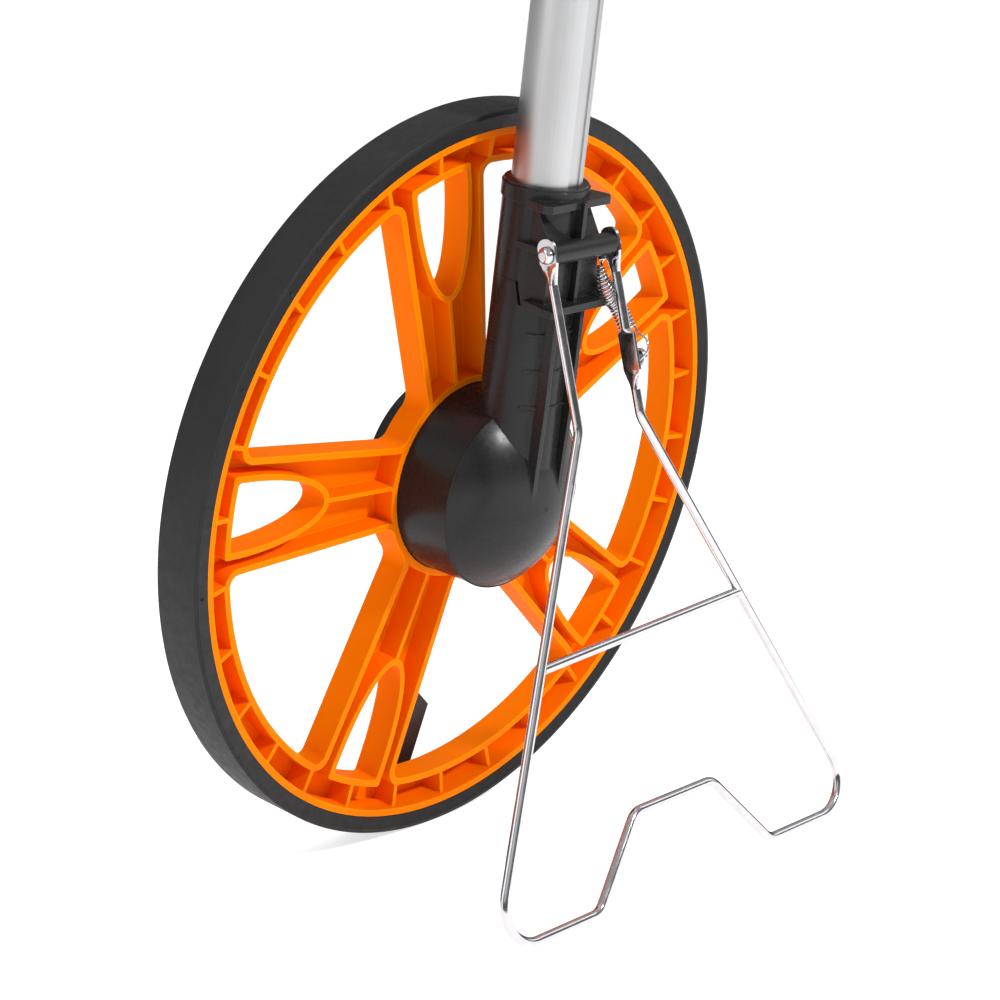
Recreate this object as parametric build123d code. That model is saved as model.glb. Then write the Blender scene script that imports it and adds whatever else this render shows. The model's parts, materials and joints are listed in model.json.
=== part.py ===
from build123d import *
import math
import os

# A measuring wheel: a one-metre wheel on a stub axle, a geared drive up a telescopic tube to a
# digit counter under the handle, and a sprung wire stand. Millimetres.
#
# Everything is drawn in the tool's own frame: the wheel's centre is the origin, Y runs along the
# axle with the arm and stand on its -Y side, and Z runs up along the tube. place() then leans the
# whole tool onto its tyre and its two wire feet, with the floor at Z = 0.

# Wheel and tyre
TYRE_RADIUS = 159.15
TYRE_HALF_WIDTH = 10.7
TYRE_SHOULDER = 0.6
RIM_RADIUS = 151.74
RIM_HALF_WIDTH = 10.17
RIM_THICKNESS = 3.0
INNER_RING_RADIUS = 136.6
WALL = 2.8
WEB = 2.2
WHEEL_FRONT = -6.8
WHEEL_BACK = 6.0
SPOKES = 5
SPOKE_DIRECTION = 176.4
SPOKE_HALF_AT_CENTRE = 14.55
SPOKE_FLARE = 0.075
WINDOW_LENGTH = 51.7
WINDOW_HALF_WIDTH = 14.5
WINDOW_CORNER = 1.5
GAP_CORNER = 4.5
GAP_HUB_CORNER = 6.0
RIM_RIBS = 30
RIB = 1.8
HUB_RING_RADIUS = 44.4
HUB_BOSS_RADIUS = 13.0
HUB_BOSS_NEAR = -11.0
HUB_BOSS_FAR = 8.4
BUSH_RADIUS = 8.0
BUSH_FLANGE = 11.0

# Axle and start pointer
AXLE_RADIUS = 5.0
AXLE_NEAR = -45.0
AXLE_FAR = 24.0
POINTER_FRONT = 9.6
POINTER_BACK = 14.5
POINTER_PLATE = 2.8
POINTER_DISC = 39.5
WASHER = 1.2
NUT_HEIGHT = 6.4

# Room between parts that turn on each other, and between parts that only pass
RUNNING = 0.12
GAP = 0.35

# Drive gears: a crown wheel and a pinion, used once at the wheel and once at the counter
CROWN_TEETH = 24
PINION_TEETH = 12
CROWN_PITCH = 16.0
PINION_PITCH = 8.0
CROWN_INNER = 14.5
CROWN_OUTER = 18.0
CROWN_TOOTH_ANGLE = 5.0
TOOTH_ADDENDUM = 1.1
TOOTH_DEDENDUM = 1.6
PINION_LENGTH = 6.0
CROWN_FLANGE = 3.0
GEAR_SCREW_CIRCLE = 22.0
GEAR_SCREW_RADIUS = 1.5

# Gear housing: the bell over the gears and the arm up to the tube
TUBE_Y = -32.67
BELL_RADIUS = 41.3
BELL_CREASE = -33.0
BELL_CREASE_RADIUS = 40.6
BELL_NOSE = -52.5
BELL_MOUTH = -5.6
BELL_WALL = 3.0
ARM_RADIUS = 17.2
ARM_TOP = 86.4
TUBE_FOOT = 62.0
SHAFT_CHANNEL = 9.0
KEEL_OFFSET = 8.0
KEEL_FRONT = -52.9
SNAP_TOP = 96.0
SNAP_SLOT = 1.3
HOUSING_SCREW_Z = 74.0

# Tube bracket with the stand's hinge
SOCKET_TOP = 135.5
HINGE_Y = -53.8
HINGE_Z = 111.9
BOSS_RADIUS = 4.6
BOSS_HALF = 18.5
PIN_RADIUS = 2.5
PLATE_HALF = 20.8
UPPER_PLATE_Z = 128.0
UPPER_PLATE_FRONT = -52.4
LOWER_PLATE_Z = 87.0
LOWER_PLATE_FRONT = -58.4
PLATE = 3.0
CHEEK_X = 14.5
CHEEK_FRONT = -51.2
ROOF_TOP = (-43.0, 127.0)
ROOF_FOOT = (-50.4, 115.4)
BRACKET_SCREW_Z = 121.0

# Wire stand, measured down its own plane from the hinge
STAND_ANGLE = 21.3
WIRE = 2.0
LEG_X = 19.6
FLAT_THICKNESS = 1.5
FLAT_WIDTH = 8.8
EYE_TOP = -6.5
EYE_FOOT = 3.5
EYE_NECK = 12.0
EYE_CORNER = 4.0
LEG_BEND = 71.6
CROSSBAR = 156.0
CROSSBAR_SLOPE = 0.034
FOOT = 258.8
FOOT_CORNER = 118.6
FOOT_INNER = 56.3
ARCH_HALF = 25.3
ARCH = 225.6
WIRE_BEND = 9.0
FOOT_BEND = 15.0
LUG = 48.0
LUG_TOP = 35.5
LUG_FOOT = 60.5
RIVET_RADIUS = 1.5
SPRING_RADIUS = 3.3
SPRING_TOP = (13.5, -54.7, 102.5)

# Telescopic tube, shown pushed in
LOWER_TUBE_RADIUS = 14.5
UPPER_TUBE_RADIUS = 12.5
TUBE_WALL = 1.2
KEYWAY_HALF = 3.25
KEYWAY_DEPTH = 1.0
UPPER_KEYWAY_HALF = 4.95
UPPER_KEYWAY_DEPTH = 0.6
LOWER_TUBE_TOP = 415.0
UPPER_TUBE_FOOT = 80.0
UPPER_TUBE_TOP = 462.0
SLIDE_BUSH_LENGTH = 30.0

# Tube clamp
COLLAR_FOOT = 392.0
COLLAR_TOP = 434.0
COLLAR_RADIUS = 19.0
CLAMP_X = -26.0
CLAMP_Z = 413.0
CLAMP_SLIT = 3.0
CLAMP_BOLT = 2.5
CLAMP_PIN = 1.5
CAM_Y = -48.67
CAM_RADIUS = 6.2
LEVER_HALF = 8.0

# Drive shafts: a square rod that slides in a square-bored tube
ROD_RADIUS = 3.5
ROD_FOOT = 9.5
ROD_ROUND_TOP = 56.0
ROD_SQUARE = 5.0
ROD_TOP = 402.0
SHAFT_RADIUS = 5.0
SHAFT_SQUARE = 5.6
SHAFT_FOOT = 84.0
SHAFT_BORE_TOP = 466.0

# Counter
DRUM_Z = 490.0
DRUM_RADIUS = 12.0
DRUM_WIDTH = 5.6
DRUM_PITCH = 6.0
DRUMS = 5
DRUM_START = -27.0
DRUM_AXLE_RADIUS = 2.0
COUNTER_HALF = 31.0
COUNTER_DEPTH = 24.0
COUNTER_FOOT = 446.0
COUNTER_FLOOR = 464.0
COUNTER_TOP = 518.0
COUNTER_WALL = 2.4
WINDOW_NEAR = -57.4
WINDOW_FAR = -26.2
WINDOW_HALF = 9.0
BEZEL = 2.0
BEZEL_BACK = -20.2
LENS_THICKNESS = 2.0
COUNTER_SCREWS = [(-19.4, 455.0), (19.4, 455.0), (-19.4, 511.0), (19.4, 511.0)]
LEVER_THICKNESS = 2.4

# Handle
GRIP_X = 0.0
GRIP_Z = 506.0
GRIP_ANGLE = 34.0
GRIP_LENGTH = 118.0
GRIP_CORE = 11.0
GRIP_RADIUS = 15.2
GRIP_SLEEVE_START = 26.0
GRIP_SLEEVE_END = 104.0
STRAP_BORE = 3.0
STRAP_PLACE = 110.0


def rod(start, end, radius):
    """A round bar from one point to another."""
    run = Vector(*end) - Vector(*start)
    base = Plane(origin=start, z_dir=run)
    return base * Cylinder(radius, run.length, align=(Align.CENTER, Align.CENTER, Align.MIN))


def block(low, high):
    """A box from its lowest to its highest corner."""
    size = [b - a for a, b in zip(low, high)]
    centre = [(a + b) / 2 for a, b in zip(low, high)]
    return Pos(*centre) * Box(*size)


def across(y_near, y_far, sketch):
    """A sketch in X and Z made solid between two places along the axle."""
    face = Plane.XZ.offset(-y_far) * sketch
    return extrude(face, amount=y_far - y_near)


def upright(z_low, z_high, sketch):
    """A sketch about the tube's axis made solid between two heights."""
    return extrude(Pos(0, TUBE_Y, z_low) * sketch, amount=z_high - z_low)


def side_plate(x, thickness, points):
    """A plate standing across X, from its outline in Y and Z."""
    return Pos(x, 0, 0) * extrude(Plane.YZ * slab(points), thickness / 2, both=True)


def across_width(width, points):
    """A block across X, from its outline in Y and Z."""
    return side_plate(0, width, points)


def hexagon(start, end, flats):
    """A hexagonal bar, as wide across its flats as given."""
    run = Vector(*end) - Vector(*start)
    face = Plane(origin=start, z_dir=run) * RegularPolygon(flats / math.sqrt(3), 6)
    return extrude(face, amount=run.length)


def ring(outer, inner):
    return Circle(outer) - Circle(inner)


def slab(points):
    """A flat face with straight sides."""
    return make_face(Polyline(*points, close=True))


def spaced(sketch, count, first=0.0):
    """Copies of a sketch turned evenly about its origin."""
    return [Rot(0, 0, first + 360 / count * index) * sketch for index in range(count)]


def around_axle(solid, count, first=0.0):
    """Copies of a solid turned evenly about the axle, from +X towards +Z."""
    return [Rot(0, -first - 360 / count * index, 0) * solid for index in range(count)]


# ---------------------------------------------------------------- wheel

def spoke_outline():
    """One spoke as a wedge that widens towards the rim, along +X."""
    near, far = 10.0, INNER_RING_RADIUS + 4
    near_half = SPOKE_HALF_AT_CENTRE + SPOKE_FLARE * near
    far_half = SPOKE_HALF_AT_CENTRE + SPOKE_FLARE * far
    return slab([(near, near_half), (far, far_half), (far, -far_half), (near, -near_half)])


def spoke_window(grow=0.0):
    """The long arched window in a spoke, with its point towards the hub, along +X."""
    centre = Pos(INNER_RING_RADIUS + 0.4, 0)
    arch = centre * Ellipse(WINDOW_LENGTH + grow, WINDOW_HALF_WIDTH + grow)
    window = arch & Circle(INNER_RING_RADIUS + grow)
    rim_corners = window.vertices().sort_by(Axis.X)[-2:]
    return fillet(rim_corners, WINDOW_CORNER)


def spoke_gap():
    """One of the large gaps between two spokes, with rounded corners, along +X."""
    half = 180 / SPOKES
    reach = INNER_RING_RADIUS + 40
    side = reach * math.tan(math.radians(half))
    wedge = slab([(0, 0), (reach, -side), (reach, side)])
    gap = ring(INNER_RING_RADIUS, HUB_RING_RADIUS) & wedge
    gap -= Rot(0, 0, half) * spoke_outline()
    gap -= Rot(0, 0, -half) * spoke_outline()
    hub_corners = gap.vertices().sort_by(SortBy.DISTANCE)[:2]
    gap = fillet(hub_corners, GAP_HUB_CORNER)
    rim_corners = gap.vertices().sort_by(SortBy.DISTANCE)[-2:]
    return fillet(rim_corners, GAP_CORNER)


def gear_screw_places():
    """The three screws' places, as X and Z about the axle."""
    turns = [math.radians(90 + 120 * index) for index in range(3)]
    return [(GEAR_SCREW_CIRCLE * math.cos(turn), GEAR_SCREW_CIRCLE * math.sin(turn)) for turn in turns]


def wheel_rim():
    """One moulding, open towards the arm: web at the back, walls and ribs standing forward."""
    between = SPOKE_DIRECTION + 180 / SPOKES
    gap, window = spoke_gap(), spoke_window()
    gap_wall = offset(gap, WALL) - gap
    window_wall = spoke_window(WALL) - window

    web = Circle(RIM_RADIUS - 1) - Circle(HUB_BOSS_RADIUS - 1)
    for opening in spaced(gap, SPOKES, between) + spaced(window, SPOKES, SPOKE_DIRECTION):
        web -= opening
    walls = ring(HUB_RING_RADIUS, HUB_RING_RADIUS - WALL)
    for wall in spaced(gap_wall, SPOKES, between) + spaced(window_wall, SPOKES, SPOKE_DIRECTION):
        walls += wall
    wheel = across(WHEEL_BACK - WEB, WHEEL_BACK, web)
    wheel += across(HUB_BOSS_NEAR, HUB_BOSS_FAR, ring(HUB_BOSS_RADIUS, BUSH_RADIUS))
    wheel += across(-RIM_HALF_WIDTH, RIM_HALF_WIDTH, ring(RIM_RADIUS, RIM_RADIUS - RIM_THICKNESS))
    wheel += across(WHEEL_FRONT, WHEEL_BACK, walls)

    inner, outer = INNER_RING_RADIUS + WALL - 0.5, RIM_RADIUS - RIM_THICKNESS + 0.5
    side = slab([(inner, WHEEL_FRONT), (outer, WHEEL_FRONT - 1.2), (outer, WHEEL_BACK - 1),
                 (inner, WHEEL_BACK - 1)])
    rim_rib = extrude(side, RIB / 2, both=True)
    wheel += around_axle(rim_rib, RIM_RIBS, SPOKE_DIRECTION)

    window_point = INNER_RING_RADIUS - WINDOW_LENGTH - WALL + 1
    spoke_rib = block((HUB_RING_RADIUS - 1, WHEEL_FRONT + 0.5, -RIB / 2),
                      (window_point, WHEEL_BACK - 1, RIB / 2))
    wheel += around_axle(spoke_rib, SPOKES, SPOKE_DIRECTION)
    return wheel - [rod((x, 0, z), (x, 5.2, z), GEAR_SCREW_RADIUS) for x, z in gear_screw_places()]


def tyre():
    band = across(-TYRE_HALF_WIDTH, TYRE_HALF_WIDTH, ring(TYRE_RADIUS, RIM_RADIUS))
    circles = band.edges().filter_by(GeomType.CIRCLE)
    shoulders = circles.filter_by(lambda edge: edge.radius > TYRE_RADIUS - 1)
    return fillet(shoulders, TYRE_SHOULDER)


def wheel_bush(inner_end, flange_face, outer_end):
    """A flanged bush pressed into one end of the hub boss."""
    body = across(*sorted((inner_end, flange_face)), ring(BUSH_RADIUS, AXLE_RADIUS + RUNNING))
    flange = across(*sorted((flange_face, outer_end)), ring(BUSH_FLANGE, AXLE_RADIUS + RUNNING))
    return body + flange


# ---------------------------------------------------------------- gears and shafts

def crown_root():
    """Where the crown teeth spring from their flange, along the axle."""
    return TUBE_Y + PINION_PITCH + TOOTH_DEDENDUM


def crown(height, inner_radius):
    """Crown teeth and their flange, facing -Y, on an axis along Y at the given height."""
    half = math.radians(CROWN_TOOTH_ANGLE / 2)
    corners = [(CROWN_INNER, -half), (CROWN_OUTER, -half), (CROWN_OUTER, half), (CROWN_INNER, half)]
    outline = slab([(radius * math.cos(turn), radius * math.sin(turn)) for radius, turn in corners])
    tooth = across(TUBE_Y + PINION_PITCH - TOOTH_ADDENDUM, crown_root() + 0.2, outline)
    gear = across(crown_root(), crown_root() + CROWN_FLANGE, ring(CROWN_OUTER + 1.5, inner_radius))
    gear += around_axle(tooth, CROWN_TEETH, 90 + 180 / CROWN_TEETH)
    return Pos(0, 0, height) * gear


def drive_gear():
    """The crown gear that turns with the wheel, on a sleeve over the hub boss."""
    floor = WHEEL_BACK - WEB
    gear = crown(0, HUB_BOSS_RADIUS - 1)
    gear += across(crown_root() + 1, floor, ring(HUB_BOSS_RADIUS + 3, HUB_BOSS_RADIUS))
    gear += across(floor - 3, floor, ring(27, HUB_BOSS_RADIUS))
    for x, z in gear_screw_places():
        gear -= rod((x, floor - 6, z), (x, floor + 1, z), GEAR_SCREW_RADIUS)
    return gear


def gear_screws():
    """Three screws that hold the drive gear's foot to the wheel."""
    head_face = WHEEL_BACK - WEB - 3
    screws = []
    for x, z in gear_screw_places():
        shank = rod((x, head_face, z), (x, 5.2, z), GEAR_SCREW_RADIUS)
        head = rod((x, head_face - 2, z), (x, head_face, z), 2.8)
        slot = block((x - 3, head_face - 3, z - 0.35), (x + 3, head_face - 1.2, z + 0.35))
        screws.append(shank + head - slot)
    return Compound(children=screws)


def pinion(z_low):
    """A small spur gear on the tube's axis, in mesh with a crown gear on its +Y side."""
    tip = PINION_PITCH + TOOTH_ADDENDUM
    root = PINION_PITCH - 1.5
    tooth = slab([(root - 0.5, -1.0), (tip, -0.4), (tip, 0.4), (root - 0.5, 1.0)])
    face = Circle(root)
    for copy in spaced(tooth, PINION_TEETH, 90):
        face += copy
    return upright(z_low, z_low + PINION_LENGTH, face - Circle(ROD_RADIUS))


def drive_pinion_foot():
    return (CROWN_INNER + CROWN_OUTER - PINION_LENGTH) / 2


def counter_pinion_foot():
    return DRUM_Z - (CROWN_INNER + CROWN_OUTER + PINION_LENGTH) / 2


def lower_drive_shaft():
    """Round where it runs in its bush, square above, so the upper shaft can slide on it."""
    shaft = upright(ROD_FOOT, ROD_ROUND_TOP, Circle(ROD_RADIUS))
    return shaft + upright(ROD_ROUND_TOP, ROD_TOP, Rectangle(ROD_SQUARE, ROD_SQUARE))


def upper_drive_shaft():
    """A tube with a square hole, closed under the counter pinion."""
    shoulder = counter_pinion_foot()
    shaft = upright(SHAFT_FOOT, shoulder, Circle(SHAFT_RADIUS))
    shaft -= upright(SHAFT_FOOT - 1, SHAFT_BORE_TOP, Rectangle(SHAFT_SQUARE, SHAFT_SQUARE))
    return shaft + upright(shoulder, shoulder + PINION_LENGTH + 0.4, Circle(ROD_RADIUS))


def shaft_bush():
    return upright(40, 50, ring(SHAFT_CHANNEL, ROD_RADIUS + RUNNING))


def upper_shaft_bush():
    inside = keyed_circle(UPPER_TUBE_RADIUS - TUBE_WALL, UPPER_KEYWAY_HALF + TUBE_WALL,
                          UPPER_KEYWAY_DEPTH)
    return upright(UPPER_TUBE_TOP - 7, UPPER_TUBE_TOP, inside - Circle(SHAFT_RADIUS + RUNNING))


# ---------------------------------------------------------------- gear housing and axle

def dome(mouth_radius, crease_radius, nose):
    """A round cup about the axle: straight sides, then a spherical nose from a crease."""
    depth = BELL_CREASE - nose
    sphere = (crease_radius ** 2 + depth ** 2) / (2 * depth)
    middle = crease_radius / 2
    middle_y = nose + sphere - math.sqrt(sphere ** 2 - middle ** 2)
    nose_arc = ThreePointArc((crease_radius, BELL_CREASE), (middle, middle_y), (0, nose))
    sides = Polyline((0, nose), (0, BELL_MOUTH), (mouth_radius, BELL_MOUTH),
                     (crease_radius, BELL_CREASE))
    return revolve(make_face((nose_arc + sides).edges()), Axis.Y)


def keel(x):
    """One of the two upright ribs on the front of the arm, running out on the bell."""
    return side_plate(x, 2.2, [(-46, ARM_TOP), (KEEL_FRONT, ARM_TOP), (KEEL_FRONT, 44), (-51.4, 2.5),
                               (-44, 2.5)])


def arm_ridges():
    """Three low ridges across the front of the arm."""
    ridges = []
    for height in (75.0, 59.5, 44.0):
        band = upright(height - 0.4, height + 0.4, ring(ARM_RADIUS + 0.7, ARM_RADIUS - 2))
        ridges.append(band & block((-14, -60, height - 1), (14, -40, height + 1)))
    return ridges


def snap_tabs(slack, slot):
    """The two side tabs of the housing that snap into the bracket, wider at their foot."""
    foot, top = ARM_TOP - 1, SNAP_TOP + slack
    band = upright(foot, top, ring(ARM_RADIUS + slack, LOWER_TUBE_RADIUS - slack))
    return band & across_width(50, [(-36 - slot, top), (-29.6 + slack, top), (-25.7 + slack, foot),
                                    (-38.6 - slot, foot)])


def side_screw(height):
    """A slotted screw through a moulding into the tube's wall, from the +X side."""
    shank = rod((13.4, TUBE_Y, height), (16.6, TUBE_Y, height), 1.5)
    head = rod((16.6, TUBE_Y, height), (18.4, TUBE_Y, height), 3.0)
    slot = block((17.6, TUBE_Y - 4, height - 0.35), (19, TUBE_Y + 4, height + 0.35))
    return shank + head - slot


def side_screw_hole(height):
    shank = rod((8, TUBE_Y, height), (17, TUBE_Y, height), 1.5)
    return shank + rod((16.6, TUBE_Y, height), (22, TUBE_Y, height), 3.3)


def bracket_screws():
    return Compound(children=[side_screw(HOUSING_SCREW_Z), side_screw(BRACKET_SCREW_Z)])


def gear_housing():
    """The bell over the drive gear and the arm up to the tube, in one moulding."""
    shell = dome(BELL_RADIUS, BELL_CREASE_RADIUS, BELL_NOSE)
    shell += upright(2, ARM_TOP, Circle(ARM_RADIUS))
    shell += [keel(-KEEL_OFFSET), keel(KEEL_OFFSET)] + arm_ridges()
    shell -= dome(BELL_RADIUS - BELL_WALL, BELL_CREASE_RADIUS - BELL_WALL, BELL_NOSE + BELL_WALL)
    shell -= upright(21, TUBE_FOOT, Circle(SHAFT_CHANNEL))
    shell -= upright(TUBE_FOOT, ARM_TOP + 1, Circle(LOWER_TUBE_RADIUS))
    shell += across(BELL_NOSE + BELL_WALL - 0.5, HUB_BOSS_NEAR - 1 - GAP, Circle(7.5))
    shell -= across(AXLE_NEAR, 0, Circle(AXLE_RADIUS))
    shell += snap_tabs(0, 0)
    return shell - side_screw_hole(HOUSING_SCREW_Z)


def axle():
    bar = across(AXLE_NEAR, AXLE_FAR, Circle(AXLE_RADIUS))
    return chamfer(bar.edges().filter_by(GeomType.CIRCLE), 0.8)


def start_pointer():
    """A disc on the axle's far end with an arrow down to where the tyre meets the ground."""
    disc = Circle(POINTER_DISC)
    arrow = slab([(-5.5, 0), (5.5, 0), (5.5, -107), (14, -115.5), (2.2, -154), (0, -156),
                  (-2.2, -154), (-14, -115.5), (-5.5, -107)])
    pointer = across(POINTER_BACK - POINTER_PLATE, POINTER_BACK, disc + arrow)
    pointer += across(POINTER_FRONT, POINTER_BACK, ring(POINTER_DISC, POINTER_DISC - 3))
    pointer += across(POINTER_FRONT, POINTER_BACK, Circle(12))
    pointer += block((-1.2, POINTER_BACK - 0.5, -104), (1.2, POINTER_BACK + 1.5, -12))
    return pointer - across(0, 30, Circle(AXLE_RADIUS))


def axle_washer():
    return across(POINTER_BACK, POINTER_BACK + WASHER, ring(10.5, AXLE_RADIUS))


def axle_nut():
    low = POINTER_BACK + WASHER
    nut = hexagon((0, low, 0), (0, low + NUT_HEIGHT, 0), 16.0)
    return nut - across(0, 30, Circle(AXLE_RADIUS))


# ---------------------------------------------------------------- tube bracket

def cross_plate(foot, front, back):
    """A flat plate across the bracket, with its front corners cut."""
    cut = 3.0
    half = PLATE_HALF
    face = slab([(-half + 2, back), (-half, front + cut), (-half + cut, front), (half - cut, front),
                 (half, front + cut), (half - 2, back)])
    return extrude(Pos(0, 0, foot) * face, PLATE)


def tube_bracket():
    """The upper moulding: the tube's socket, the hinge boss and the two stop plates."""
    bracket = upright(ARM_TOP + GAP, SOCKET_TOP, Circle(ARM_RADIUS))
    bracket += upright(SOCKET_TOP - 7, SOCKET_TOP - 1.2, Circle(ARM_RADIUS + 0.8))
    bracket += cross_plate(UPPER_PLATE_Z, UPPER_PLATE_FRONT, -39.5)
    bracket += cross_plate(LOWER_PLATE_Z, LOWER_PLATE_FRONT, -42.0)
    bracket += block((-PLATE_HALF, -59.8, LOWER_PLATE_Z), (-PLATE_HALF + 2.6, -54, LOWER_PLATE_Z + PLATE))

    bracket += rod((-BOSS_HALF, HINGE_Y, HINGE_Z), (BOSS_HALF, HINGE_Y, HINGE_Z), BOSS_RADIUS)
    bracket += block((-BOSS_HALF, HINGE_Y, HINGE_Z - 1.2), (BOSS_HALF, -36, HINGE_Z + 1.2))
    bracket += across_width(2 * CHEEK_X + 2, [(-36, UPPER_PLATE_Z), ROOF_TOP, ROOF_FOOT, (HINGE_Y, HINGE_Z),
                                              (-36, HINGE_Z)])
    plates_top = UPPER_PLATE_Z + PLATE
    bracket += side_plate(0, 2.0, [(-49, LOWER_PLATE_Z), (-54.6, LOWER_PLATE_Z), (-54.6, plates_top),
                                   (-49, plates_top)])
    for x in (-CHEEK_X, CHEEK_X):
        bracket += side_plate(x, 2.0, [(-38, LOWER_PLATE_Z), (CHEEK_FRONT, LOWER_PLATE_Z),
                                       (CHEEK_FRONT, HINGE_Z), (-38, HINGE_Z)])
    wall_back = CHEEK_FRONT + 2.4
    bracket += block((-CHEEK_X, CHEEK_FRONT, LOWER_PLATE_Z), (CHEEK_X, wall_back, HINGE_Z))
    bracket += block((CHEEK_X, CHEEK_FRONT, LOWER_PLATE_Z), (PLATE_HALF - 0.8, wall_back, 101))
    post_x, post_y, spring_top = SPRING_TOP
    bracket += rod((post_x, post_y, spring_top + 3.4), (post_x, post_y, HINGE_Z), 1.3)

    bracket -= upright(80, ARM_TOP + GAP, Circle(ARM_RADIUS + GAP))
    bracket -= upright(80, SOCKET_TOP + 5, Circle(LOWER_TUBE_RADIUS))
    bracket -= rod((-30, HINGE_Y, HINGE_Z), (30, HINGE_Y, HINGE_Z), PIN_RADIUS)
    bracket -= block((15.2, LOWER_PLATE_FRONT - 2, LOWER_PLATE_Z - 1),
                     (30, CHEEK_FRONT, LOWER_PLATE_Z + PLATE + 1))
    return bracket - snap_tabs(GAP, SNAP_SLOT) - side_screw_hole(BRACKET_SCREW_Z)


# ---------------------------------------------------------------- wire stand

def stand_plane():
    """The stand's own plane: X across, Y down the legs from the hinge."""
    tilt = math.radians(STAND_ANGLE)
    normal = (0, math.cos(tilt), -math.sin(tilt))
    return Plane(origin=(0, HINGE_Y, HINGE_Z), x_dir=(1, 0, 0), z_dir=normal)


def leg_section(x, reach, face):
    """A section across a leg at a distance down from the hinge."""
    return Plane(origin=(x, reach, 0), x_dir=(1, 0, 0), z_dir=(0, 1, 0)) * face


def flat_section():
    return RectangleRounded(FLAT_THICKNESS, FLAT_WIDTH, 0.5)


def flattening(x, round_end, flat_end):
    """The part of a leg between round wire and its flattened part."""
    return loft([leg_section(x, round_end, Circle(WIRE)), leg_section(x, flat_end, flat_section())])


def hinge_eye(x):
    """The flattened top of a leg, with round corners above the hinge pin."""
    plate_length = EYE_FOOT - EYE_TOP
    outline = RectangleRounded(plate_length, FLAT_WIDTH, EYE_CORNER)
    outline += Pos(2, 0) * Rectangle(plate_length - 4, FLAT_WIDTH)
    outline = Pos((EYE_TOP + EYE_FOOT) / 2, 0) * outline
    plate = Pos(x, 0, 0) * extrude(Plane.YZ * outline, FLAT_THICKNESS / 2, both=True)
    eye = plate + flattening(x, EYE_NECK, EYE_FOOT)
    return eye - rod((x - 3, 0, 0), (x + 3, 0, 0), PIN_RADIUS + RUNNING)


def stand_wire():
    """One bent wire: two legs, two feet and the arch between them."""
    lug_flat, lug_taper = LUG_TOP + 2, LUG_FOOT - 8
    route = [(LEG_X, LUG_FOOT), (LEG_X, LEG_BEND), (FOOT_CORNER, FOOT), (FOOT_INNER, FOOT),
             (ARCH_HALF, ARCH), (-ARCH_HALF, ARCH), (-FOOT_INNER, FOOT), (-FOOT_CORNER, FOOT),
             (-LEG_X, LEG_BEND), (-LEG_X, EYE_NECK)]
    bends = [FOOT_BEND if abs(x) == FOOT_CORNER else WIRE_BEND for x, reach in route[1:-1]]
    outline = FilletPolyline(*route, radius=bends)
    start = Plane(origin=outline @ 0, z_dir=outline % 0)
    wire = sweep(start * Circle(WIRE), path=outline)
    wire += rod((LEG_X, EYE_NECK, 0), (LEG_X, LUG_TOP, 0), WIRE)
    wire += flattening(LEG_X, LUG_TOP, lug_flat)
    wire += extrude(leg_section(LEG_X, lug_flat, flat_section()), lug_taper - lug_flat)
    wire += flattening(LEG_X, LUG_FOOT, lug_taper)
    wire -= rod((LEG_X - 3, LUG, 0), (LEG_X + 3, LUG, 0), RIVET_RADIUS)
    wire += [hinge_eye(-LEG_X), hinge_eye(LEG_X)]
    return stand_plane() * wire


def stand_crossbar():
    """The bar welded between the legs, a little out of level, coped to the wire at each end."""
    flare = (FOOT_CORNER - LEG_X) / (FOOT - LEG_BEND)
    half = LEG_X + (CROSSBAR - LEG_BEND) * flare
    drop = CROSSBAR_SLOPE * half
    bar = rod((-half, CROSSBAR + drop, 0), (half, CROSSBAR - drop, 0), WIRE)
    for side in (-1, 1):
        bar -= rod((side * LEG_X, LEG_BEND, 0), (side * FOOT_CORNER, FOOT, 0), WIRE)
    return stand_plane() * bar.solids().sort_by(SortBy.VOLUME)[-1]


def spring_rivet():
    """The headed rivet through the right leg that the spring hooks onto."""
    outside = LEG_X + FLAT_THICKNESS / 2
    shank = rod((LEG_X - FLAT_THICKNESS / 2, LUG, 0), (outside + 4, LUG, 0), RIVET_RADIUS)
    collar = rod((outside, LUG, 0), (outside + 0.9, LUG, 0), 2.6)
    head = rod((outside + 3.2, LUG, 0), (outside + 6.8, LUG, 0), 3.7)
    rim = head.edges().filter_by(GeomType.CIRCLE).sort_by(Axis.X)[-1]
    return stand_plane() * (shank + collar + fillet(rim, 1.5))


def hinge_pin():
    """The pin through the boss and both legs, with a domed head on each end."""
    head_start = LEG_X + FLAT_THICKNESS / 2 + GAP
    pin = rod((-head_start - 1, HINGE_Y, HINGE_Z), (head_start + 1, HINGE_Y, HINGE_Z), PIN_RADIUS)
    for side in (-1, 1):
        inner = (side * head_start, HINGE_Y, HINGE_Z)
        outer = (side * (head_start + 2.3), HINGE_Y, HINGE_Z)
        head = rod(inner, outer, 3.6)
        circles = head.edges().filter_by(GeomType.CIRCLE).sort_by(Axis.X)
        pin += fillet(circles[-1] if side > 0 else circles[0], 2.1)
    return pin


def stand_spring():
    """The room that the coil fills, from under the boss to the rivet on the right leg."""
    path = Spline(SPRING_TOP, (15.5, -55.6, 96.0), (20.0, -56.2, 89.8), (23.0, -58.2, 86.0),
                  (25.5, -63.5, 76.5))
    start = Plane(origin=path @ 0, z_dir=path % 0)
    return sweep(start * Circle(SPRING_RADIUS), path=path)


# ---------------------------------------------------------------- telescopic tube and clamp

def keyed_circle(radius, keyway_half, keyway_depth):
    """A circle with a flat-bottomed keyway cut into its -Y side."""
    return Circle(radius) - Pos(0, keyway_depth - radius - 5) * Rectangle(2 * keyway_half, 10)


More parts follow.
